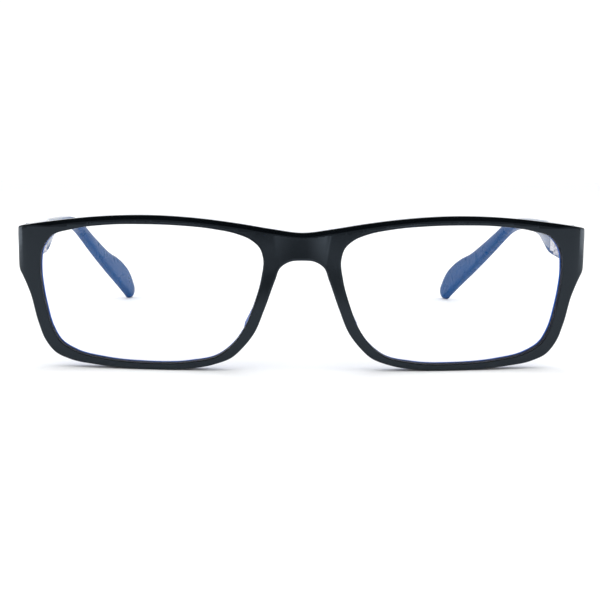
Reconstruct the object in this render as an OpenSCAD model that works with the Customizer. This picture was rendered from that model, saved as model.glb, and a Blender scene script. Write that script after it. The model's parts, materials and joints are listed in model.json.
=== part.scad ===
// Full-rim spectacles with clear lenses and folding temples.
// Frame: +X is the wearer's left, the front faces -Y, the temples run back along +Y, +Z is up.
// The glasses stand open on the lower rims and the temple tips, with Z = 0 at that plane.
// The origin is the middle of the footprint's bounding box.

/* [Front] */
// Depth of the rims from the front face to the back
rim_depth = 4.0; // [3.4:0.1:4.6]
// Thickness of the blue layer at the back of the front
lining_t = 1.0; // [0.6:0.1:1.2]
// Radius of the front's wrap around the face
face_r = 350; // [260:10:400]
// Rounding of the front's outer side corners
corner_r = 1.6; // [0.8:0.2:2]

/* [Lenses] */
// Thickness of the lens
lens_t = 1.9; // [1.6:0.1:2]
// How far the lens sits behind the front face
lens_set = 0.9; // [0.7:0.1:1]
// Depth of the groove that holds the lens
groove_d = 0.6; // [0.4:0.1:0.8]
// Width of the groove and of the lens's edge tongue
groove_w = 0.9; // [0.7:0.1:1]

/* [Temples] */
// Distance from the front plane back to the temple joint
joint_y = 14; // [13.6:0.2:15]
// Thickness of the temple at the hinge
temple_t = 3.2; // [3:0.1:3.6]
// Thickness of the temple from the bend back
tip_t = 2.7; // [2.4:0.1:3]
// Thickness of the black skin on the temple's outer face
skin_t = 0.5; // [0.4:0.1:0.7]
// Distance back at which the temple starts to curve in
bend_y = 32; // [30:1:40]
// Radius of the inward curve of the temple's outer face
bend_r = 625; // [550:25:900]

/* [Hinge] */
// Radius of the hinge knuckles
knuckle_r = 1.3; // [1.2:0.05:1.3]
// Radius of the hinge screw's shank
screw_r = 0.7; // [0.6:0.05:0.8]
// Running clearance of the temple's knuckles on the screw
run_gap = 0.05; // [0.02:0.01:0.08]
// Gap between neighbouring knuckles
knuckle_gap = 0.08; // [0.05:0.01:0.12]
// Thickness of the hinge leaves
leaf_t = 0.8; // [0.7:0.05:0.9]
// Length of the temple's hinge leaf
leaf_l = 11; // [9:0.5:12]

/* [Hidden] */

$fn = 48;
tall = 60;            // taller than anything in the model
half_w = 69.15;       // half of the overall width
total_y = 139.3;      // front plane to the rearmost point of the tips
mid_y = total_y / 2;

// Top edge of the front, from the middle of the bridge to the outer corner, as [x, z]
front_top = [[0, 33.4], [7, 34.2], [15, 35.5], [24, 36.65], [36, 37.4], [48, 37.05],
             [60, 35.8], [68.4, 34.55]];
// Lower edge of the front, from the end piece round the rim to the middle of the bridge
front_low = [[half_w, 24.2], [68.4, 22.75], [66.4, 18.35], [64.4, 10.9], [62.65, 6.5], [60.2, 3.6],
             [56.6, 2.0], [50, 0.85], [37.5, 0.024], [28, 0.3], [21, 1.55], [16.8, 3.25],
             [13.7, 6.15], [11.5, 9.05], [9, 14.9], [6.4, 22.1], [5.2, 25.05], [3.1, 26.45],
             [0, 26.8]];
// Lens opening, clockwise from its upper nasal corner
opening = [[9.35, 27.2], [10.1, 29.6], [12.3, 31.65], [15.5, 33], [21, 34.15], [30, 35], [38, 35.2],
           [47, 34.95], [55.5, 33.8], [60.6, 32.1], [62.8, 29.2], [63.5, 24.5], [63.1, 19.4],
           [62.3, 15], [60.8, 9.7], [58.8, 6.4], [55, 4.1], [48, 2.5], [38, 1.7], [27, 2.1],
           [20, 3.8], [16.2, 6.9], [13.6, 10.8], [11.4, 16.4], [9.8, 22.2]];
// Outline of the temple, along its top edge from the hinge, round the tip and back, as [y, z]
temple_edge = [[joint_y, 34.55], [40, 34.75], [57, 34.3], [67, 33.4], [75, 31.5], [83, 28.6],
               [97, 23.5], [109, 19.3], [118, 16.9], [126, 14], [132.5, 10.6], [137, 6.6],
               [139.19, 3.7], [139.19, 1.9], [137.6, 0.25], [135.5, 0.05], [133, 1.3], [125, 5.3],
               [109, 12.7], [90, 21.3], [79.5, 26], [73, 28.6], [66, 30.3], [56, 31.1], [44, 30.9],
               [39, 30.2], [34, 28.6], [29, 27.1], [22, 26.3], [joint_y, 26]];

// End of the front, seen from the side: a block with a sloping underside that the temple butts against
block_x = 64.3;       // inner side of the block
block_low = [[4, 22], [8, 24.2], [joint_y, 26]];
block_top = 34.55;
miter = 1.6;          // how much of the block's inner rear corner is cut away

// Temple in plan: the inner face curves a little less than the outer one, which thins the tip
inner_x = half_w - temple_t;
reach = total_y - bend_y;
outer_in = bend_r - sqrt(bend_r * bend_r - reach * reach);
inner_in = outer_in + tip_t - temple_t;
inner_r = (reach * reach + inner_in * inner_in) / (2 * inner_in);
skin_inset = 0.6;     // rim of temple left round the skin
joint_gap = 0.05;     // gap between the open temple and the front

// Hinge axis, and its five knuckles
axis_x = inner_x - knuckle_r - 0.1;
knuckle_h = 1.2;
hinge_z = 27.4;
hinge_h = 5 * knuckle_h;
pocket_r = knuckle_r + 0.15;
tang_x = axis_x + 0.45;
tang_l = 5;
leaf_y = joint_y + pocket_r + 0.15;
web_start = 0.2;      // how far behind the axis the web of a temple knuckle starts
web_l = leaf_y - joint_y + web_start;
front_web = 2;        // length of the web from a front knuckle to the tang
pin_hole_r = 0.6;     // hole in the tang that the plastic fills
pin_hole_y = joint_y - 3.6;

// Screws of the temple's leaf: where they stand, and their head and shank
screw_spots = [for (back = [5, 9.4]) [joint_y + back, hinge_z + hinge_h / 2]];
head_r = 1.1;
head_h = 0.4;
shank_r = 0.6;
shank_l = 2;
pin_head_h = 0.6;
pin_slot = [4, 0.3, 0.3];     // length, width and depth of the slot in the hinge screw's head
leaf_slot = [4, 0.24, 0.2];   // the same for the leaf's screws
snug = 0.02;          // space round a part that is set into another
over = 1;             // how far a cut reaches past the face that it opens

// Cubic from a to b that leaves with tangent ta and arrives with tangent tb
function blend(a, b, ta, tb, t) =
    (2*t*t*t - 3*t*t + 1) * a + (t*t*t - 2*t*t + t) * ta
    + (3*t*t - 2*t*t*t) * b + (t*t*t - t*t) * tb;
// Tangent at q between its neighbours, for a cubic over a chord of length span
function slope(p, q, r, span) =
    let (d1 = norm(q - p), d2 = norm(r - q))
    span * ((q - p) * d2 / d1 + (r - q) * d1 / d2) / (d1 + d2);
function open_curve(p, n = 3) = [
    for (i = [0:len(p) - 2], k = [0:n - 1])
        let (a = p[i], b = p[i + 1], span = norm(b - a),
             ta = i == 0 ? b - a : slope(p[i - 1], a, b, span),
             tb = i == len(p) - 2 ? b - a : slope(a, b, p[i + 2], span))
        blend(a, b, ta, tb, k / n),
    p[len(p) - 1]];
function loop_curve(p, n = 3) = let (m = len(p)) [
    for (i = [0:m - 1], k = [0:n - 1])
        let (a = p[i], b = p[(i + 1) % m], span = norm(b - a))
        blend(a, b, slope(p[(i + m - 1) % m], a, b, span), slope(a, b, p[(i + 2) % m], span), k / n)];
// A clockwise outline grown outward by d
function grow(p, d) = let (m = len(p)) [
    for (i = [0:m - 1])
        let (t = p[(i + 1) % m] - p[(i + m - 1) % m])
        p[i] + d * [-t[1], t[0]] / norm(t)];
function flip_x(p) = [for (i = [len(p) - 1:-1:0]) [-p[i][0], p[i][1]]];

// Children drawn in the front plane's frame, moved so that the footprint is centred
module placed() { translate([0, -mid_y, 0]) children(); }
// side 1 is the wearer's left, side -1 the mirror image
module on_side(side) { mirror([side < 0 ? 1 : 0, 0, 0]) children(); }
// An [x, z] outline made solid from y0 to y1
module wall(points, y0, y1) {
    translate([0, y1, 0]) rotate([90, 0, 0]) linear_extrude(y1 - y0) polygon(points);
}
// A [y, z] outline made solid from x0 to x1
module side_wall(points, x0, x1) {
    translate([x0, 0, 0]) rotate([90, 0, 90]) linear_extrude(x1 - x0) polygon(points);
}
// Round bar whose front is the curved surface that lies d behind the front face
module face_bar(d) {
    translate([0, face_r, -1]) cylinder(r = face_r - d, h = tall, $fn = 180);
}
// The curved sheet between two depths behind the front face
module sheet(d0, d1) {
    difference() {
        face_bar(d0);
        translate([0, 0, -1]) scale([1, 1, 1.1]) face_bar(d1);
    }
}
// The space in front of the curved surface that lies d behind the front face
module ahead(d) {
    sheet(-20, d);
}

half_outline = concat(open_curve(front_top), [[half_w, 33.9]], open_curve(front_low));
outline = concat(half_outline, flip_x(half_outline));
lens_edge = loop_curve(opening);

module openings() {
    for (s = [1, -1]) on_side(s) wall(lens_edge, -1, 20);
}

// Block behind the end of the front that the temple meets
module end_block() {
    front_y = block_low[0][0];
    intersection() {
        side_wall(concat(block_low, [[joint_y, block_top], [front_y, block_top]]), 60, half_w);
        wall(half_outline, front_y, joint_y);
        linear_extrude(tall) polygon([[block_x, front_y + 3], [half_w, front_y + 3], [half_w, joint_y],
                                      [inner_x - 0.6, joint_y], [block_x, joint_y - miter]]);
    }
}

// The rounded vertical corners where the front turns into the sides
module corner_trim() {
    corner_y = face_r - sqrt(face_r * face_r - half_w * half_w);
    translate([half_w - corner_r, corner_y + corner_r - 0.25, -1]) difference() {
        translate([0, -2 * corner_r, 0]) cube([2 * corner_r, 2 * corner_r, tall]);
        cylinder(r = corner_r, h = tall);
    }
}

module front_frame() {
    color([0.03, 0.04, 0.05]) placed() difference() {
        union() {
            intersection() { wall(outline, -1, 20); sheet(0, rim_depth - lining_t); }
            for (s = [1, -1]) on_side(s) difference() {
                end_block();
                ahead(0);
            }
        }
        openings();
        for (s = [1, -1]) on_side(s) {
            lens_tongue(snug);
            corner_trim();
            hinge_pocket();
            front_tang();
            front_knuckles();
        }
    }
}

// Blue layer behind the rims
module front_lining() {
    color([0.08, 0.2, 0.5]) placed() difference() {
        intersection() { wall(outline, -1, 20); sheet(rim_depth - lining_t, rim_depth); }
        openings();
        for (s = [1, -1]) on_side(s) {
            translate([block_x, 0, 0]) cube([10, 20, tall]);
            hinge_pocket();
        }
    }
}

// Pad bonded to the back of the nasal rim, leaning back to meet the side of the nose
pad_base = [[9.3, 3.4, 17.5, 1.1], [12.7, 3.4, 9.4, 1.3]];
pad_crest = [[10.3, 6.6, 16, 0.9], [12.9, 6.8, 10.8, 0.9]];
module nose_pad(side) {
    color([0.08, 0.2, 0.5]) placed() on_side(side) difference() {
        hull() for (p = concat(pad_base, pad_crest))
            translate([p[0], p[1], p[2]]) sphere(p[3], $fn = 24);
        ahead(rim_depth);
    }
}

// Edge of the lens that stands in the groove
module lens_tongue(gap) {
    mid = lens_set + lens_t / 2;
    intersection() {
        wall(grow(lens_edge, groove_d + gap), -1, 20);
        sheet(mid - groove_w / 2 - gap, mid + groove_w / 2 + gap);
    }
}

module lens(side) {
    color([0.75, 0.85, 1, 0.3]) placed() on_side(side) {
        intersection() { wall(lens_edge, -1, 20); sheet(lens_set, lens_set + lens_t); }
        lens_tongue(0);
    }
}

// Room for the knuckles in the end piece, open upward for the screwdriver
module hinge_pocket() {
    translate([axis_x, joint_y, hinge_z - 0.3]) cylinder(r = pocket_r, h = tall);
}

// Tang of the front leaf that is moulded into the end piece
module front_tang() {
    translate([tang_x, joint_y - tang_l, hinge_z]) cube([leaf_t, tang_l - pocket_r, hinge_h]);
}

// One knuckle, counted from below, with a web in plan from corner at of the given size
module knuckle(i, at, size, r = knuckle_r) {
    translate([0, 0, hinge_z + i * knuckle_h + knuckle_gap / 2])
        linear_extrude(knuckle_h - knuckle_gap) {
            translate([axis_x, joint_y]) circle(r);
            translate(at) square(size);
        }
}

module front_knuckles() {
    for (i = [0, 2, 4]) knuckle(i, [tang_x, joint_y - front_web], [leaf_t, front_web]);
}

module temple_knuckles(gap) {
    web = [inner_x + leaf_t + gap - axis_x, web_l];
    for (i = [1, 3]) knuckle(i, [axis_x, joint_y + web_start - gap], web, knuckle_r + gap);
}

// Hole for the hinge screw through all five knuckles
module hinge_bore(r) {
    translate([axis_x, joint_y, hinge_z - 1]) cylinder(r = r, h = hinge_h + 2);
}

// Places its children at each leaf screw, with +Z running outward into the temple
module at_leaf_screws() {
    for (p = screw_spots) translate([inner_x, p[0], p[1]]) rotate([0, 90, 0]) children();
}

module front_hinge(side) {
    color("silver") placed() on_side(side) difference() {
        union() {
            front_knuckles();
            front_tang();
        }
        hinge_bore(screw_r);
        translate([0, pin_hole_y, hinge_z + hinge_h / 2]) rotate([0, 90, 0])
            cylinder(r = pin_hole_r, h = half_w);
    }
}

module leaf_plate(gap) {
    translate([inner_x - 0.01, leaf_y - gap, hinge_z - gap])
        cube([leaf_t + 0.01 + gap, leaf_l + 2 * gap, hinge_h + 2 * gap]);
}

module temple_hinge(side) {
    color("silver") placed() on_side(side) difference() {
        union() {
            temple_knuckles(0);
            leaf_plate(0);
        }
        hinge_bore(screw_r + run_gap);
        at_leaf_screws() {
            translate([0, 0, -0.5]) cylinder(r = shank_r, h = leaf_t + 1);
            translate([0, 0, -0.5]) cylinder(r = head_r, h = head_h + 0.5 + snug);
        }
    }
}

// Slotted screw that is the hinge pin, threaded into the lowest knuckle
module hinge_screw(side) {
    top = hinge_z + hinge_h;
    color("silver") placed() on_side(side) translate([axis_x, joint_y, 0]) difference() {
        union() {
            translate([0, 0, hinge_z + 0.04]) cylinder(r = screw_r, h = hinge_h);
            translate([0, 0, top]) cylinder(r = head_r, h = pin_head_h);
        }
        translate([-pin_slot[0] / 2, -pin_slot[1] / 2, top + pin_head_h - pin_slot[2]])
            cube([pin_slot[0], pin_slot[1], pin_slot[2] + over]);
    }
}

// The two slotted screws that hold the temple leaf
module leaf_screws(side) {
    color("silver") placed() on_side(side) at_leaf_screws() difference() {
        union() {
            cylinder(r = head_r - snug, h = head_h);
            cylinder(r = shank_r - snug, h = shank_l);
        }
        translate([-leaf_slot[1] / 2, -leaf_slot[0] / 2, -over])
            cube([leaf_slot[1], leaf_slot[0], leaf_slot[2] + over]);
    }
}

temple_side = open_curve(temple_edge);
skin_side = grow(temple_side, -skin_inset);

// In plan, everything inboard of a face that starts at x and curves in from the bend with radius r
module inboard(x, r, start) {
    low_x = 40;
    translate([low_x, start]) square([x - low_x, bend_y - start]);
    intersection() {
        translate([x - r, bend_y]) circle(r = r, $fn = 360);
        translate([low_x, bend_y]) square([x, total_y]);
    }
}

module temple_body() {
    intersection() {
        side_wall(temple_side, 40, 80);
        linear_extrude(tall) difference() {
            inboard(half_w, bend_r, joint_y + joint_gap);
            inboard(inner_x, inner_r, joint_y);
        }
    }
}

// Skin let into the temple's outer face, or with proud above 0 the recess that holds it
module skin_shape(proud) {
    intersection() {
        side_wall(skin_side, 40, 80);
        linear_extrude(tall) difference() {
            inboard(half_w + proud, bend_r + proud, joint_y + joint_gap);
            inboard(half_w - skin_t, bend_r - skin_t, joint_y);
        }
    }
}

module temple(side) {
    color([0.1, 0.25, 0.5]) placed() on_side(side) difference() {
        temple_body();
        skin_shape(1);
        leaf_plate(snug);
        temple_knuckles(0.05);
        at_leaf_screws() cylinder(r = shank_r - snug, h = shank_l);
    }
}

module temple_skin(side) {
    color([0.03, 0.03, 0.04]) placed() on_side(side) skin_shape(0);
}

front_frame();
front_lining();
nose_pad(1);  // nose_pad_left
nose_pad(-1);  // nose_pad_right
lens(1);  // lens_left
lens(-1);  // lens_right
front_hinge(1);  // front_hinge_left
front_hinge(-1);  // front_hinge_right
temple_hinge(1);  // temple_hinge_left
temple_hinge(-1);  // temple_hinge_right
hinge_screw(1);  // hinge_screw_left
hinge_screw(-1);  // hinge_screw_right
leaf_screws(1);  // leaf_screws_left
leaf_screws(-1);  // leaf_screws_right
temple(1);  // temple_left
temple(-1);  // temple_right
temple_skin(1);  // temple_skin_left
temple_skin(-1);  // temple_skin_right
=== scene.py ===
"""Looks for the blue light glasses: finished meshes, materials, floor, lights and camera round the CAD frame.

Lengths are millimetres in the front's own frame, where y = 0 is the foremost point of the bridge and +y runs
back along the temples. Shell.piece() turns them into the row's metres. Left is the wearer's left, at +X.
"""

import json
import math

import bmesh
import bpy
import numpy as np
from mathutils import Matrix, Vector
from mathutils.geometry import delaunay_2d_cdt


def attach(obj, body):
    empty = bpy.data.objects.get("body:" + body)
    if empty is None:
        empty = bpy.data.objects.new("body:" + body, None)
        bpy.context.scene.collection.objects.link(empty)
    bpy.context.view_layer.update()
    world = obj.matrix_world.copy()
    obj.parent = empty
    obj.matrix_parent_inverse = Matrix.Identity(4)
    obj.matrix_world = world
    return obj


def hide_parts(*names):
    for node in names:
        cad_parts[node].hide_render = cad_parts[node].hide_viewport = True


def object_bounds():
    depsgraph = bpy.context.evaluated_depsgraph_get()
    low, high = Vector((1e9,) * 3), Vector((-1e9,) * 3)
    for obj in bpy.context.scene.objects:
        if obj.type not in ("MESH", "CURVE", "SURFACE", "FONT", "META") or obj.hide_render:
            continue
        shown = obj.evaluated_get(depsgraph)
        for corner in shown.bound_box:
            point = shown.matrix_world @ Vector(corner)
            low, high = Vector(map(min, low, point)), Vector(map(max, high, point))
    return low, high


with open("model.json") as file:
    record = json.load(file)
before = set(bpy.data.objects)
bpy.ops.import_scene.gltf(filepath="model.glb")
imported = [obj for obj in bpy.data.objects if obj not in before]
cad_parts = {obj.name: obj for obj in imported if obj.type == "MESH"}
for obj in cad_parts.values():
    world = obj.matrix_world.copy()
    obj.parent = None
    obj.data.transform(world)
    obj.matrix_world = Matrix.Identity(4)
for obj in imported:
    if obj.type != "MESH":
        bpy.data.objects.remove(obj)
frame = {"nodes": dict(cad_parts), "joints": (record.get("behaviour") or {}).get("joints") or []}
CAD_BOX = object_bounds()
MM = 0.001
FRONT_Y = CAD_BOX[0][1] / MM
SIDES = {"left": 1, "right": -1}


# ---------------------------------------------------------------- shape of the object

HALF_W = CAD_BOX[1][0] / MM
FACE_R = 350.0
SEAM = 3.0
RIM_DEPTH = 4.0
LENS_FRONT, LENS_BACK = 0.9, 2.8
LENS_GROWN = 0.3
EDGE_STEP = 0.42
CORNER_ROLL, CORNER_DROP = 3.2, 0.9
BRIDGE_R = 36.0
CREASE_TOP, CREASE_LOW = (7.0, 34.0), (5.7, 26.5)
CREASE_FADE = 18.0
TOP_FACET, TOP_FACET_ENDS = (1.0, 1.15), (61.0, 66.5)
JOINT_Y = 14.0
BLOCK_X = 64.3
BLOCK_Y, BLOCK_LOW, BLOCK_SLOPE = JOINT_Y - 6, 24.2, 10 / 3
MITER_X, MITER_SLOPE = BLOCK_X + 1.05, 1.5
AXIS_X = abs(frame["joints"][0]["pos_m"][0]) / MM
POCKET_R, POCKET_LOW = 1.45, 27.1
LEAF = (14.6, 26.75, 27.25, 33.55)
LEAF_T = 0.85
TOTAL_Y = 139.3
TEMPLE_T = 3.2
TIP_T = 2.7
BEND_Y = 32.0
BEND_R = 625.0
SKIN_T = 0.5

# Half of the front's outline, on the wearer's left, as (x, z): clockwise from the top of the bridge to its
# underside
HALF_OUTLINE = (
    (0, 33.4), (7, 34.2), (15, 35.5), (24, 36.65), (36, 37.38), (48, 37.05), (60, 35.8), (66, 34.95),
    (68.45, 34.52), (68.93, 34.35), (69.08, 33.85), (69.12, 33.2), (69.12, 29.5), (69.12, 25.1),
    (69.09, 24.4), (68.85, 23.6), (68.3, 22.6), (66.4, 18.35), (64.4, 10.9), (62.65, 6.5), (60.2, 3.6),
    (56.6, 2.0), (50, 0.85), (37.5, 0.03), (28, 0.3), (21, 1.55), (16.8, 3.25), (13.7, 6.15), (11.5, 9.05),
    (9, 14.9), (6.4, 22.1), (5.2, 25.05), (3.1, 26.45), (0, 26.8),
)
# Lens opening, clockwise from its upper nasal corner, as (x, z)
OPENING = (
    (9.35, 27.2), (10.1, 29.6), (12.3, 31.65), (15.5, 33), (21, 34.15), (30, 35), (38, 35.2), (47, 34.95),
    (55.5, 33.8), (60.6, 32.1), (62.8, 29.2), (63.5, 24.5), (63.1, 19.4), (62.3, 15), (60.8, 9.7),
    (58.8, 6.4), (55, 4.1), (48, 2.5), (38, 1.7), (27, 2.1), (20, 3.8), (16.2, 6.9), (13.6, 10.8),
    (11.4, 16.4), (9.8, 22.2),
)
# Outline of a temple, along its top edge from the hinge, round the tip and back, as (y, z)
TEMPLE_EDGE = (
    (14.05, 33.05), (14.16, 33.62), (14.49, 34.11), (14.98, 34.44), (15.6, 34.55), (20, 34.6), (40, 34.75),
    (57, 34.3), (67, 33.4), (75, 31.5), (83, 28.6), (97, 23.5), (109, 19.3), (118, 16.9), (126, 14),
    (132.5, 10.6), (137, 6.6), (139.18, 3.7), (139.18, 1.9), (137.6, 0.27), (135.5, 0.07), (133, 1.3),
    (125, 5.3), (109, 12.7), (90, 21.3), (79.5, 26), (73, 28.6), (66, 30.3), (56, 31.1), (44, 30.9),
    (39, 30.2), (34, 28.6), (29, 27.1), (22, 26.3), (15.6, 26.05), (14.98, 26.16), (14.49, 26.49),
    (14.16, 26.98), (14.05, 27.55), (14.05, 30.3),
)


# ---------------------------------------------------------------- curves in the plane

def smooth_path(points, spacing):
    """Points about spacing apart on a smooth closed curve through the given ones."""
    p = np.array(points, float)
    before, after = np.roll(p, 1, axis=0), np.roll(p, -1, axis=0)
    d1 = np.linalg.norm(p - before, axis=1)[:, None]
    d2 = np.linalg.norm(after - p, axis=1)[:, None]
    slope = ((p - before) * d2 / d1 + (after - p) * d1 / d2) / (d1 + d2)
    spans = []
    for i in range(len(p)):
        j = (i + 1) % len(p)
        t = np.arange(0, 1, 0.04)[:, None]
        spans.append(
            (2 * t**3 - 3 * t**2 + 1) * p[i] + (t**3 - 2 * t**2 + t) * slope[i] * d2[i]
            + (3 * t**2 - 2 * t**3) * p[j] + (t**3 - t**2) * slope[j] * d2[i]
        )
    return even(np.concatenate(spans), spacing)


def even(loop, spacing):
    """The closed loop again with its points evenly spaced."""
    p = np.vstack([loop, loop[:1]])
    along = np.concatenate([[0], np.cumsum(np.linalg.norm(np.diff(p, axis=0), axis=1))])
    at = np.linspace(0, along[-1], int(round(along[-1] / spacing)) + 1)[:-1]
    return np.column_stack([np.interp(at, along, p[:, k]) for k in (0, 1)])


def outward(loop):
    """Unit normals of a clockwise loop, pointing out of it."""
    t = np.roll(loop, -1, axis=0) - np.roll(loop, 1, axis=0)
    n = np.column_stack([-t[:, 1], t[:, 0]])
    return n / np.linalg.norm(n, axis=1)[:, None]


def inside(points, loop):
    """Which points lie inside the loop."""
    x, z = points[:, 0], points[:, 1]
    hit = np.zeros(len(points), bool)
    for a, b in zip(loop, np.roll(loop, -1, axis=0)):
        if a[1] != b[1]:
            crosses = (a[1] > z) != (b[1] > z)
            hit ^= crosses & (x < (b[0] - a[0]) * (z - a[1]) / (b[1] - a[1]) + a[0])
    return hit


def near(points, loop, gap):
    """Which points lie closer than gap to the loop's points."""
    close = np.zeros(len(points), bool)
    for a in loop:
        close |= ((points - a) ** 2).sum(1) < gap * gap
    return close


def ease(x, low, high):
    """0 below low, 1 above high, smooth between."""
    t = np.clip((x - low) / (high - low), 0, 1)
    return t * t * (3 - 2 * t)


def box_loop(low_u, high_u, low_v, high_v, r, spacing=0.25):
    """A clockwise rectangle with rounded corners."""
    corners = ((low_u + r, high_v - r, 180), (high_u - r, high_v - r, 90), (high_u - r, low_v + r, 0),
               (low_u + r, low_v + r, 270))
    points = [
        (u + r * math.cos(math.radians(start - turn)), v + r * math.sin(math.radians(start - turn)))
        for u, v, start in corners for turn in range(0, 91, 10)
    ]
    return even(np.array(points), spacing)


def honeycomb(low, high, spacing):
    """Points of a triangular grid over a rectangle."""
    rows = []
    for k, v in enumerate(np.arange(low[1], high[1], spacing * 0.866)):
        u = np.arange(low[0] + spacing / 2 * (k % 2), high[0], spacing)
        rows.append(np.column_stack([u, np.full(len(u), v)]))
    return np.concatenate(rows)


# ---------------------------------------------------------------- mesh building

def fillet(r, steps=6):
    """Quarter round: how far in and how deep each ring lies, from face to wall. r may vary by point."""
    turn = np.linspace(0, math.pi / 2, steps + 1)[:, None]
    return (1 - np.sin(turn)) * r, (1 - np.cos(turn)) * r


def chamfer(width, depth, soften, steps=6):
    """Sloping facet with softened edges, with as many rows as the fillet of the same steps."""
    tilt = math.atan2(depth, width)
    cut = soften * math.tan(tilt / 2)
    cut_low = soften * math.tan((math.pi / 2 - tilt) / 2)
    run, fall = math.cos(tilt), math.sin(tilt)
    first = [(width + cut, 0.0), (width + cut * 0.35, cut * 0.16 * fall), (width - cut * run, cut * fall)]
    last = [(cut_low * run, depth - cut_low * fall), (0.12 * cut_low, depth + 0.3 * cut_low),
            (0.0, depth + cut_low)]
    middle = ((first[-1][0] + last[0][0]) / 2, (first[-1][1] + last[0][1]) / 2)
    rows = np.array(first + [middle] * (steps - 5) + last)
    return rows[:, :1], rows[:, 1:]


class Shell:
    """Vertices in millimetres and faces. put(u, v, depth) says where a point of a plate goes."""

    def __init__(self, put):
        self.put = put
        self.flat = []
        self.verts = []
        self.faces = []
        self.paints = []

    def add(self, uv, depth):
        first = len(self.verts)
        self.flat.extend((float(u), float(v)) for u, v in uv)
        self.verts.extend(self.put(float(u), float(v), float(d)) for (u, v), d in zip(uv, depth))
        return list(range(first, len(self.verts)))

    def join(self, a, b, paint=0):
        for i in range(len(a)):
            j = (i + 1) % len(a)
            self.faces.append((a[i], a[j], b[j], b[i]))
        self.paints += [paint] * len(a)

    def edge(self, loop, way, face, profile, toward):
        """Rings that round off a loop, from face to wall. toward is 1 for a front face and -1 for a back."""
        rings = []
        for into, drop in zip(*profile):
            uv = loop + way * np.broadcast_to(into, len(loop))[:, None]
            rings.append(self.add(uv, face(uv[:, 0], uv[:, 1]) + toward * drop))
        for a, b in zip(rings, rings[1:]):
            self.join(a, b)
        return rings

    def wall(self, loop, way, front, back, front_profile, back_profile, paint=0):
        """Rounded wall along a loop. Returns the vertices that bound its front and back faces."""
        before = self.edge(loop, way, front, front_profile, 1)
        behind = self.edge(loop, way, back, back_profile, -1)
        self.join(before[-1], behind[-1], paint)
        return before[0], behind[0]

    def pocket(self, loop, face, depth, toward, spacing, rounding=0.12):
        """Recess with a flat floor. Returns the ring that bounds it in the face."""
        rings = self.edge(loop, outward(loop), face, fillet(rounding, 3), toward)
        floor = self.add(loop, face(loop[:, 0], loop[:, 1]) + toward * depth)
        self.join(rings[-1], floor)
        self.fill(floor, [], lambda u, v: face(u, v) + toward * depth, spacing)
        return rings[0]

    def fill(self, outer, holes, face, spacing, fine=None):
        """Closes the area between rings with small triangles on the face. fine is (test, spacing)."""
        rings = [outer, *holes]
        loops = [np.array([self.flat[v] for v in ring]) for ring in rings]
        low, high = loops[0].min(0), loops[0].max(0)
        grid = honeycomb(low, high, spacing)
        if fine:
            dense = honeycomb(low, high, fine[1])
            grid = np.concatenate([grid[~fine[0](grid)], dense[fine[0](dense)]])
        keep = inside(grid, loops[0])
        for loop in loops[1:]:
            keep &= ~inside(grid, loop)
        grid = grid[keep]
        for loop in loops:
            grid = grid[~near(grid, loop, (fine[1] if fine else spacing) * 0.6)]
        edges, start = [], 0
        for loop in loops:
            edges += [(start + i, start + (i + 1) % len(loop)) for i in range(len(loop))]
            start += len(loop)
        coords = np.concatenate(loops + [grid])
        result = delaunay_2d_cdt([Vector(c) for c in coords], edges, [], 0, 1e-6)
        places, triangles, origins = result[0], result[2], result[3]
        known = [v for ring in rings for v in ring]
        uv = np.array([(p[0], p[1]) for p in places])
        depths = face(uv[:, 0], uv[:, 1])
        index = [
            known[origin[0]] if origin and origin[0] < len(known) else self.add([place], [depth])[0]
            for place, depth, origin in zip(uv, depths, origins)
        ]
        middles = uv[np.array(triangles)].mean(axis=1)
        keep = inside(middles, loops[0])
        for loop in loops[1:]:
            keep &= ~inside(middles, loop)
        self.faces += [tuple(index[v] for v in t) for t, k in zip(triangles, keep) if k]
        self.paints += [0] * int(keep.sum())

    def piece(self, name, materials, side=1):
        """A smooth-shaded object in the row's frame. side -1 mirrors it to the wearer's right."""
        mesh = bpy.data.meshes.new(name)
        places = [(x * side * MM, (FRONT_Y + y) * MM, z * MM) for x, y, z in self.verts]
        mesh.from_pydata(places, [], self.faces)
        mesh.polygons.foreach_set("material_index", self.paints)
        return finish_mesh(name, mesh, materials)


def finish_mesh(name, mesh, materials, sharp=40):
    bm = bmesh.new()
    bm.from_mesh(mesh)
    bmesh.ops.remove_doubles(bm, verts=bm.verts, dist=2e-7)
    bmesh.ops.dissolve_degenerate(bm, edges=bm.edges, dist=1e-7)
    bmesh.ops.recalc_face_normals(bm, faces=bm.faces)
    bm.to_mesh(mesh)
    bm.free()
    mesh.shade_smooth()
    mesh.set_sharp_from_angle(angle=math.radians(sharp))
    for material in materials:
        mesh.materials.append(material)
    obj = bpy.data.objects.new(name, mesh)
    bpy.context.scene.collection.objects.link(obj)
    return obj


# ---------------------------------------------------------------- materials

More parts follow.
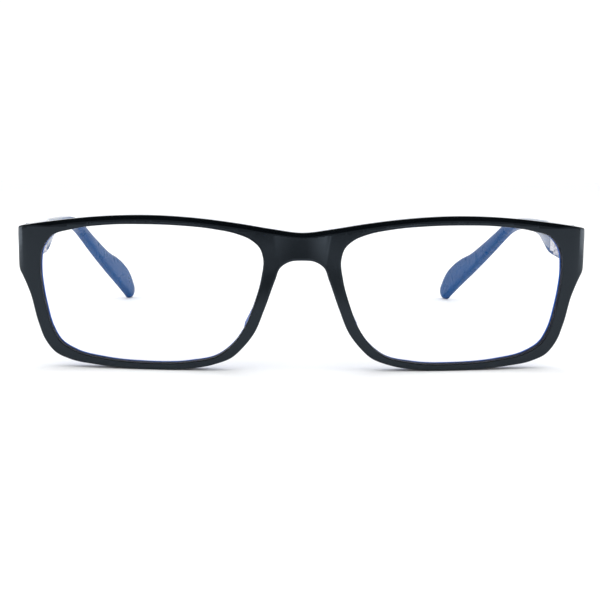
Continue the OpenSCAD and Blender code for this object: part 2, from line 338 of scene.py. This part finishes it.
class Paint:
    """A Principled material with helpers for procedural detail in object space."""

    def __init__(self, name, **values):
        self.material = bpy.data.materials.new(name)
        self.material.use_nodes = True
        self.tree = self.material.node_tree
        self.shader = self.tree.nodes["Principled BSDF"]
        for key, value in values.items():
            self.shader.inputs[key.replace("_", " ")].default_value = value
        self.where = self.tree.nodes.new("ShaderNodeTexCoord").outputs["Object"]

    def node(self, kind, inputs=(), **settings):
        n = self.tree.nodes.new(kind)
        for key, value in settings.items():
            setattr(n, key, value)
        for key, value in dict(inputs).items():
            if isinstance(value, bpy.types.NodeSocket):
                self.tree.links.new(value, n.inputs[key])
            else:
                n.inputs[key].default_value = value
        return n

    def noise(self, size_mm, detail=3.0, stretch=(1, 1, 1)):
        """Noise whose features are about size_mm across."""
        scaled = self.node("ShaderNodeMapping", {"Vector": self.where, "Scale": stretch})
        inputs = {"Vector": scaled.outputs[0], "Scale": 1 / (size_mm * MM), "Detail": detail}
        return self.node("ShaderNodeTexNoise", inputs).outputs["Fac"]

    def spread(self, value, low, high, from_low=0.3, from_high=0.7):
        """The value mapped to low..high."""
        inputs = {"Value": value, "From Min": from_low, "From Max": from_high, "To Min": low, "To Max": high}
        return self.node("ShaderNodeMapRange", inputs).outputs[0]

    def shade(self, value, low, high):
        """Colour between two colours by the value."""
        ramp = self.node("ShaderNodeValToRGB", {"Fac": value})
        for stop, place, colour in zip(ramp.color_ramp.elements, (0.3, 0.7), (low, high)):
            stop.position = place
            stop.color = (*colour, 1)
        return ramp.outputs[0]

    def feed(self, key, value):
        self.tree.links.new(value, self.shader.inputs[key])

    def bump(self, layers):
        """Stacks bumps given as (height, depth in mm)."""
        normal = None
        for height, depth_mm in layers:
            inputs = {"Height": height, "Strength": 1.0, "Distance": depth_mm * MM}
            if normal:
                inputs["Normal"] = normal
            normal = self.node("ShaderNodeBump", inputs).outputs[0]
        self.feed("Normal", normal)


def gloss_black():
    paint = Paint("gloss_black", IOR=1.42, Specular_Tint=(0.70, 0.84, 1.0, 1))
    cloud = paint.noise(9)
    paint.feed("Base Color", paint.shade(cloud, (0.0016, 0.0024, 0.0034), (0.0028, 0.0040, 0.0054)))
    smudge = paint.noise(3.5, 5)
    paint.feed("Roughness", paint.spread(smudge, 0.07, 0.13))
    paint.bump([(paint.noise(2.6, 2), 0.0022), (paint.noise(0.35, 2), 0.0003)])
    return paint.material


def satin_black():
    paint = Paint("satin_black", IOR=1.47)
    paint.feed("Base Color", paint.shade(paint.noise(6), (0.003, 0.0035, 0.0045), (0.006, 0.007, 0.009)))
    paint.feed("Roughness", paint.spread(paint.noise(2.5, 5, (1, 0.2, 1)), 0.16, 0.26))
    paint.bump([(paint.noise(2.2, 2), 0.0025), (paint.noise(0.3, 2), 0.0006)])
    return paint.material


def cut_edge(name, dark, light):
    """Milled wall of a lens opening: dull, with fine cutter marks."""
    paint = Paint(name, IOR=1.04)
    marks = paint.noise(0.2, 3, (0.3, 1, 0.3))
    paint.feed("Base Color", paint.shade(paint.noise(3), dark, light))
    paint.feed("Roughness", paint.spread(marks, 0.3, 0.5))
    paint.bump([(marks, 0.0015)])
    return paint.material


SHEEN_ENDS = (38, 62)
TOP_SHEEN = (33.7, 34.3)


def deep_blue(name, dark, light, rough):
    """Dyed plastic, clouded a little in the moulding, and polished round the hinge and on the top edge."""
    paint = Paint(name, IOR=1.12, Coat_IOR=1.5, Coat_Roughness=0.06)
    cloud = paint.noise(9, 1, (1, 0.4, 1))
    paint.feed("Base Color", paint.shade(cloud, dark, light))
    paint.feed("Roughness", paint.spread(paint.noise(4, 2), rough - 0.02, rough + 0.03))
    place = paint.node("ShaderNodeSeparateXYZ", {"Vector": paint.where}).outputs
    start, end = ((FRONT_Y + y) * MM for y in SHEEN_ENDS)
    by_hinge = paint.spread(place["Y"], 1.0, 0.0, start, end)
    on_top = paint.spread(place["Z"], 0.0, 1.0, *(z * MM for z in TOP_SHEEN))
    # The lower edge stays matt. Near the hinge it runs back and up at about 1 in 5
    rise = paint.node("ShaderNodeMath", {0: place["Y"], 1: -0.2, 2: place["Z"]}, operation="MULTIPLY_ADD")
    low_edge = 22.2 * MM - 0.2 * FRONT_Y * MM
    above = paint.spread(rise.outputs[0], 0.0, 1.0, low_edge, low_edge + 0.4 * MM)
    inner = paint.node("ShaderNodeMath", {0: by_hinge, 1: above}, operation="MULTIPLY")
    either = paint.node("ShaderNodeMath", {0: inner.outputs[0], 1: on_top}, operation="MAXIMUM")
    paint.feed("Coat Weight", either.outputs[0])
    paint.bump([(paint.noise(8, 0), 0.0006), (paint.noise(0.3, 1), 0.0001)])
    return paint.material


def lens_clear():
    paint = Paint("lens_clear", Base_Color=(1, 1, 1, 1), Transmission_Weight=1.0, IOR=1.5,
                  Specular_Tint=(0.12, 0.16, 0.45, 1))
    paint.feed("Roughness", paint.spread(paint.noise(6, 5), 0.0, 0.012, 0.45, 0.75))
    return paint.material


def brushed_steel(name, stretch, tone):
    paint = Paint(name, Metallic=1.0)
    grain = paint.noise(0.12, 3, stretch)
    paint.feed("Base Color", paint.shade(paint.noise(1.5), [c * 0.86 for c in tone], tone))
    paint.feed("Roughness", paint.spread(grain, 0.2, 0.36))
    paint.bump([(grain, 0.003), (paint.noise(0.9, 2), 0.004)])
    return paint.material


BLACK = gloss_black()
SKIN = satin_black()
BLUE = deep_blue("temple_blue", (0.0012, 0.044, 0.145), (0.0025, 0.054, 0.172), 0.28)
LINING = deep_blue("lining_blue", (0.003, 0.060, 0.30), (0.005, 0.080, 0.38), 0.2)
CUT_BLACK = cut_edge("cut_black", (0.004, 0.005, 0.016), (0.007, 0.009, 0.030))
# Wall of the blue layer's lens openings: the layer's own blue plus painted light, brighter than its face to
# stand in for light shining through the translucent layer
CUT_BLUE_PAINTED_LIGHT = cut_edge("cut_blue_painted_light", (0.006, 0.085, 0.42), (0.012, 0.13, 0.55))
CLEAR = lens_clear()
LEAF_STEEL = brushed_steel("leaf_steel", (1, 0.12, 1), (0.58, 0.58, 0.64))
SCREW_STEEL = brushed_steel("screw_steel", (1, 1, 1), (0.74, 0.73, 0.72))


def finish_piece(piece, body, slot, *nodes):
    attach(piece, body)
    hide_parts(*nodes)


# ---------------------------------------------------------------- the front

def in_front_plane(u, v, depth):
    return (u, depth, v)


def wrap(x):
    """How far the curved face lies behind the bridge at x."""
    return FACE_R - np.sqrt(FACE_R**2 - x**2)


def face(x, z):
    """Front surface: the wrapped face, a more curved bridge between two creases, and rolled end corners."""
    away = np.abs(x)
    slant = (CREASE_TOP[0] - CREASE_LOW[0]) / (CREASE_TOP[1] - CREASE_LOW[1])
    crease = CREASE_LOW[0] + (z - CREASE_LOW[1]) * slant
    lift = crease**2 / (2 * BRIDGE_R) - wrap(crease)
    bridge = away**2 / (2 * BRIDGE_R)
    rim = wrap(x) + lift * (1 - ease(away, crease, crease + CREASE_FADE))
    share = np.clip((away - (HALF_W - CORNER_ROLL)) / CORNER_ROLL, 0, 0.96)
    roll = CORNER_DROP * (1 - np.sqrt(1 - share**2))
    return np.where(away < crease, bridge, rim) + roll


def seam(x, z):
    """Where the black front ends and the blue layer starts."""
    return wrap(x) + SEAM


def back(x, z):
    """Rear of the black front: the seam, and the end block with its sloping underside and hinge pocket."""
    away = np.abs(x)
    base = seam(x, z)
    block = np.clip(BLOCK_Y + (z - BLOCK_LOW) * BLOCK_SLOPE, base, JOINT_Y)
    off_axis = np.clip(np.abs(away - AXIS_X) / POCKET_R, 0, 1)
    pocket = JOINT_Y - POCKET_R * np.sqrt(1 - off_axis**2)
    pocket = np.where(z > POCKET_LOW, pocket, JOINT_Y)
    miter = JOINT_Y - np.clip(MITER_X - away, 0, 2) * MITER_SLOPE
    block = np.minimum(block, np.minimum(pocket, miter))
    inner = ease(away, BLOCK_X - 0.3, BLOCK_X + 0.3)
    return base + np.maximum(block - base, 0) * inner


def mirrored(half):
    """The whole outline from its right half, clockwise."""
    return list(half) + [(-x, z) for x, z in reversed(half[1:-1])]


def flip(loop):
    """The loop mirrored in x, clockwise again."""
    return (loop * (-1, 1))[::-1]


def lens_loop(spacing, grown=0.0):
    loop = smooth_path(OPENING, spacing)
    return loop + outward(loop) * grown


def make_front():
    shell = Shell(in_front_plane)
    outline = smooth_path(mirrored(HALF_OUTLINE), EDGE_STEP)
    x, z = outline[:, 0], outline[:, 1]
    way = -outward(outline)
    # The top edge has a facet, which fades out where the end pieces turn down
    top = (way[:, 1] < -0.8) * (z > 30) * (1 - ease(np.abs(x), *TOP_FACET_ENDS))
    round_into, round_drop = fillet(0.42)
    flat_into, flat_drop = chamfer(*TOP_FACET, 0.35)
    front_profile = (round_into + (flat_into - round_into) * top, round_drop + (flat_drop - round_drop) * top)
    rear_round = 0.12 + 0.2 * ease(np.abs(x), BLOCK_X, BLOCK_X + 1)
    outer = shell.wall(outline, way, face, back, front_profile, fillet(rear_round, 4))
    holes = []
    for flip_it in (False, True):
        loop = lens_loop(EDGE_STEP)
        loop = flip(loop) if flip_it else loop
        holes.append(shell.wall(loop, outward(loop), face, back, fillet(0.25), fillet(0.1, 2), 1))
    ends = (lambda p: np.abs(p[:, 0]) > BLOCK_X - 1.5, 0.28)
    creases = (lambda p: np.abs(p[:, 0]) < 9, 0.3)
    shell.fill(outer[0], [h[0] for h in holes], face, 0.75, creases)
    shell.fill(outer[1], [h[1] for h in holes], back, 0.75, ends)
    front = shell.piece("front_shell", [BLACK, CUT_BLACK])
    flat_shading = front.modifiers.new("flat_shading", "WEIGHTED_NORMAL")
    flat_shading.keep_sharp = True
    finish_piece(front, "front", "front_black", "front_frame")


def make_lining():
    shell = Shell(in_front_plane)
    outline = smooth_path(mirrored(HALF_OUTLINE), EDGE_STEP)
    limit = BLOCK_X - 0.35
    clipped = np.column_stack([np.clip(outline[:, 0], -limit, limit), outline[:, 1]])
    clipped = even(clipped, EDGE_STEP)

    def rear(x, z):
        return wrap(x) + RIM_DEPTH

    def rounding(loop, r):
        """The rear rounding, smaller where the layer is thin beside the end blocks."""
        return fillet(r + (0.12 - r) * ease(np.abs(loop[:, 0]), 59, 62.5))

    outer = shell.wall(clipped, -outward(clipped), seam, rear, fillet(0.06, 2), rounding(clipped, 0.45))
    holes = []
    for flip_it in (False, True):
        loop = lens_loop(EDGE_STEP)
        loop = flip(loop) if flip_it else loop
        holes.append(shell.wall(loop, outward(loop), seam, rear, fillet(0.06, 2), rounding(loop, 0.35), 1))
    shell.fill(outer[0], [h[0] for h in holes], seam, 0.8)
    shell.fill(outer[1], [h[1] for h in holes], rear, 0.8)
    lining = shell.piece("front_back_layer", [LINING, CUT_BLUE_PAINTED_LIGHT])
    finish_piece(lining, "front", "lining_blue", "front_lining")


def make_lens(label, side):
    shell = Shell(in_front_plane)
    loop = lens_loop(0.5, LENS_GROWN)

    def near_face(x, z):
        return wrap(x) + LENS_FRONT

    def far_face(x, z):
        return wrap(x) + LENS_BACK

    ring = shell.wall(loop, -outward(loop), near_face, far_face, fillet(0, 0), fillet(0, 0))
    shell.fill(ring[0], [], near_face, 0.8)
    shell.fill(ring[1], [], far_face, 0.8)
    lens = shell.piece(f"lens_{label}_clear", [CLEAR], side)
    lens.visible_shadow = False
    finish_piece(lens, "front", "lens_clear", f"lens_{label}")


# Centres and radii of the balls that a nose pad is stretched over, as (x, y, z, r)
PAD = ((9.3, 3.4, 17.5, 1.1), (12.7, 3.4, 9.4, 1.3), (10.3, 6.6, 16, 0.9), (12.9, 6.8, 10.8, 0.9))


def make_pad(label, side):
    bm = bmesh.new()
    for x, y, z, r in PAD:
        ball = bmesh.ops.create_icosphere(bm, subdivisions=3, radius=r * MM)
        bmesh.ops.translate(bm, verts=ball["verts"], vec=(x * side * MM, (FRONT_Y + y) * MM, z * MM))
    bmesh.ops.delete(bm, geom=bm.edges[:], context="EDGES_FACES")
    bmesh.ops.convex_hull(bm, input=bm.verts[:])
    bmesh.ops.delete(bm, geom=[v for v in bm.verts if not v.link_faces], context="VERTS")
    mesh = bpy.data.meshes.new(f"pad_{label}")
    bm.to_mesh(mesh)
    bm.free()
    pad = finish_mesh(f"pad_{label}", mesh, [LINING], 180)
    remesh = pad.modifiers.new("even", "REMESH")
    remesh.mode = "VOXEL"
    remesh.voxel_size = 0.22 * MM
    remesh.use_smooth_shade = True
    soft = pad.modifiers.new("soft", "SMOOTH")
    soft.iterations = 8
    finish_piece(pad, "front", "lining_blue", f"nose_pad_{label}")


# ---------------------------------------------------------------- the temples

def in_side_plane(u, v, depth):
    return (HALF_W - depth, u, v)


REACH = TOTAL_Y - BEND_Y
OUTER_IN = BEND_R - math.sqrt(BEND_R**2 - REACH**2)
INNER_IN = OUTER_IN + TIP_T - TEMPLE_T
INNER_R = (REACH**2 + INNER_IN**2) / (2 * INNER_IN)
CROWN, CROWN_W = 0.35, 3.6
LEAN, LEAN_ENDS, HINGE_MID = 0.1, (48, 68), 30.5
SKIN_INSET, SKIN_GAP = 0.95, 0.03


def temple_loop(spacing):
    """The temple's outline, cut straight where it meets the front."""
    return np.maximum(smooth_path(TEMPLE_EDGE, spacing), (TEMPLE_EDGE[0][0], 0))


TEMPLE_LOOP = temple_loop(0.4)
FINE_LOOP = temple_loop(0.15)


def to_edge(y, z):
    """Distance from each point to the temple's outline."""
    best = np.full(np.shape(y), 1e9)
    for a in FINE_LOOP:
        best = np.minimum(best, (y - a[0])**2 + (z - a[1])**2)
    return np.sqrt(best)


def outer_side(y, z):
    beyond = np.maximum(y - BEND_Y, 0)
    return BEND_R - np.sqrt(BEND_R**2 - beyond**2)


def inner_side(y, z):
    """Inner face: crowned across its width, and leaning to face a little upward behind the hinge leaf."""
    beyond = np.maximum(y - BEND_Y, 0)
    flat = TEMPLE_T + INNER_R - np.sqrt(INNER_R**2 - beyond**2)
    behind_leaf = ease(y, LEAF[1], LEAF[1] + 6)
    lean = LEAN * (HINGE_MID - z) * behind_leaf * (1 - ease(y, *LEAN_ENDS))
    short = 1 - np.clip(to_edge(y, z) / CROWN_W, 0, 1)
    return flat + lean - CROWN * short**2 * behind_leaf


def make_temple(label, side):
    body = f"{label}_temple"
    edge = TEMPLE_LOOP
    way = -outward(edge)
    y = edge[:, 0]
    leaf_end = LEAF[1]
    rounding = 0.22 + 0.5 * ease(y, leaf_end, leaf_end + 7)
    inner_rounding = rounding + 0.4 * ease(y, leaf_end + 7, leaf_end + 25)
    skin_edge = edge + way * SKIN_INSET

    shell = Shell(in_side_plane)
    ring = shell.wall(edge, way, outer_side, inner_side, fillet(rounding), fillet(inner_rounding))
    recess = shell.pocket(skin_edge, outer_side, SKIN_T, 1, 0.9, 0.08)
    leaf = shell.pocket(box_loop(*LEAF, 0.5), inner_side, LEAF_T, -1, 0.9)
    shell.fill(ring[0], [recess], outer_side, 0.5)
    shell.fill(ring[1], [leaf], inner_side, 0.45)
    temple = shell.piece(f"temple_{label}_body", [BLUE], side)
    finish_piece(temple, body, "temple_blue", f"temple_{label}")

    def under(y, z):
        return outer_side(y, z) + SKIN_T - 0.02

    shell = Shell(in_side_plane)
    loop = skin_edge + way * SKIN_GAP
    ring = shell.wall(loop, way, outer_side, under, fillet(0.14, 4), fillet(0.03, 1))
    shell.fill(ring[0], [], outer_side, 0.8)
    shell.fill(ring[1], [], under, 2.0)
    skin = shell.piece(f"temple_{label}_outer_skin", [SKIN], side)
    finish_piece(skin, body, "skin_black", f"temple_skin_{label}")


def dress_metal(node, material):
    """A CAD metal part with its edges broken and a brushed finish."""
    obj = frame["nodes"][node]
    obj.data.materials.clear()
    obj.data.materials.append(material)
    weld = obj.modifiers.new("joined_faces", "WELD")
    weld.merge_threshold = 0.001 * MM
    bevel = obj.modifiers.new("broken_edges", "BEVEL")
    bevel.width = 0.07 * MM
    bevel.segments = 2
    bevel.limit_method = "ANGLE"
    bevel.angle_limit = math.radians(50)
    bevel.harden_normals = True


make_front()
make_lining()
for label, side in SIDES.items():
    make_lens(label, side)
    make_pad(label, side)
    make_temple(label, side)
    for node in (f"front_hinge_{label}", f"temple_hinge_{label}"):
        dress_metal(node, LEAF_STEEL)
    for node in (f"hinge_screw_{label}", f"leaf_screws_{label}"):
        dress_metal(node, SCREW_STEEL)


# ---------------------------------------------------------------- floor, light and camera

def make_floor():
    mesh = bpy.data.meshes.new("floor")
    half = 3.0
    corners = [(-half, -half, 0), (half, -half, 0), (half, half, 0), (-half, half, 0)]
    mesh.from_pydata(corners, [], [(0, 1, 2, 3)])
    floor = bpy.data.objects.new("floor", mesh)
    bpy.context.scene.collection.objects.link(floor)
    paint = Paint("floor_white", IOR=1.02)
    white = paint.shade(paint.noise(40), (0.93, 0.935, 0.94), (0.95, 0.95, 0.955))
    # Painted shade for reflected rays only: mirrored in the polished front, a patch before the object is dim.
    # The bridge and the nose sides show it
    away = paint.node("ShaderNodeVectorMath", {0: paint.where, 1: (0, -0.4, 0)}, operation="DISTANCE")
    reflected_shade = paint.spread(away.outputs["Value"], 0.65, 0.0, 0.08, 0.19)
    mirror = paint.node("ShaderNodeLightPath").outputs["Is Glossy Ray"]
    share = paint.node("ShaderNodeMath", {0: reflected_shade, 1: mirror}, operation="MULTIPLY").outputs[0]
    # Sockets 6 and 7 are the two colours, and output 2 is the mixed one
    mixed = paint.node("ShaderNodeMix", {"Factor": share, 6: white, 7: (0, 0, 0, 1)}, data_type="RGBA")
    paint.feed("Base Color", mixed.outputs[2])
    paint.feed("Roughness", paint.spread(paint.noise(25), 0.5, 0.6))
    mesh.materials.append(paint.material)


def make_world():
    """White to the camera. Around the object it is bright low down and dark overhead."""
    world = bpy.data.worlds.new("studio")
    bpy.context.scene.world = world
    world.use_nodes = True
    tree = world.node_tree
    tree.nodes.clear()

    def node(kind, **settings):
        n = tree.nodes.new(kind)
        for key, value in settings.items():
            setattr(n, key, value)
        return n

    def mapped(value, low, high, to_low, to_high):
        n = node("ShaderNodeMapRange", interpolation_type="SMOOTHSTEP")
        for key, number in {"From Min": low, "From Max": high, "To Min": to_low, "To Max": to_high}.items():
            n.inputs[key].default_value = number
        tree.links.new(value, n.inputs["Value"])
        return n.outputs[0]

    def arithmetic(operation, a, b):
        n = node("ShaderNodeMath", operation=operation)
        tree.links.new(a, n.inputs[0])
        tree.links.new(b, n.inputs[1])
        return n.outputs[0]

    def background(colour, strength):
        n = node("ShaderNodeBackground")
        n.inputs["Color"].default_value = (*colour, 1)
        if isinstance(strength, bpy.types.NodeSocket):
            tree.links.new(strength, n.inputs["Strength"])
        else:
            n.inputs["Strength"].default_value = strength
        return n.outputs[0]

    def choose(share, first, second):
        n = node("ShaderNodeMixShader")
        tree.links.new(share, n.inputs[0])
        tree.links.new(first, n.inputs[1])
        tree.links.new(second, n.inputs[2])
        return n.outputs[0]

    where = node("ShaderNodeTexCoord")
    split = node("ShaderNodeSeparateXYZ")
    tree.links.new(where.outputs["Generated"], split.inputs[0])
    panel = mapped(split.outputs["Y"], 0.87, 0.95, 0.5, 1.3)
    overhead = mapped(split.outputs["Z"], 0.4, 0.85, 1.0, 0.05)
    mirrored_light = background((0.96, 0.98, 1.0), arithmetic("MULTIPLY", panel, overhead))
    soft_light = background((0.98, 0.99, 1.0), 1.16)
    plain = background((1, 1, 1), 1.05)
    path = node("ShaderNodeLightPath")
    seen = arithmetic("MAXIMUM", path.outputs["Is Camera Ray"], path.outputs["Is Transmission Ray"])
    indirect = choose(path.outputs["Is Diffuse Ray"], mirrored_light, soft_light)
    out = node("ShaderNodeOutputWorld")
    tree.links.new(choose(seen, indirect, plain), out.inputs["Surface"])


def make_lamp(name, place, aim, size, power, colour=(1, 1, 1)):
    lamp = bpy.data.lights.new(name, "AREA")
    lamp.shape = "RECTANGLE"
    lamp.size, lamp.size_y = size
    lamp.energy = power
    lamp.color = colour
    obj = bpy.data.objects.new(name, lamp)
    obj.location = place
    obj.rotation_euler = (Vector(aim) - Vector(place)).to_track_quat("-Z", "Y").to_euler()
    obj.visible_camera = False
    obj.visible_transmission = False
    bpy.context.scene.collection.objects.link(obj)


def make_camera():
    camera = bpy.data.cameras.new("camera")
    camera.sensor_width = 36
    camera.lens = 59.7
    camera.shift_x = 0.063
    camera.clip_start = 0.01
    obj = bpy.data.objects.new("camera", camera)
    obj.location = (-0.0095, (FRONT_Y - 235) * MM, 0.049)
    level = Matrix.Rotation(math.radians(90 - 7.65), 3, "X")
    obj.rotation_euler = (level @ Matrix.Rotation(math.radians(0.24), 3, "Z")).to_euler()
    bpy.context.scene.collection.objects.link(obj)
    bpy.context.scene.camera = obj


make_floor()
make_world()
make_lamp("key", (0.0, 0.55, 0.75), (0, 0, 0), (0.9, 0.5), 1.5)
make_lamp("right", (0.75, -0.1, 0.3), (0, 0, 0.02), (0.5, 0.5), 1.6)
make_lamp("left", (-0.75, -0.1, 0.3), (0, 0, 0.02), (0.5, 0.5), 1.2)
# Low cards that only the curved bridge mirrors: brighter outward, and brighter on the wearer's left
CARD = 0.018
for label, side, power in (("left", 1, 0.00035), ("right", -1, 0.00012)):
    for step in range(1, 6):
        place = (side * (0.03 + CARD * step), FRONT_Y * MM - 0.3, 0.008)
        make_lamp(f"bridge_card_{label}_{step}", place, (0, FRONT_Y * MM, 0.03), (CARD, CARD), power * step)
for label, side in SIDES.items():
    make_lamp(f"end_card_{label}", (side * 0.36, -0.1, 0.03), (0, -0.06, 0.03), (0.24, 0.05), 0.12)
make_camera()
bpy.context.scene.view_settings.view_transform = "Standard"
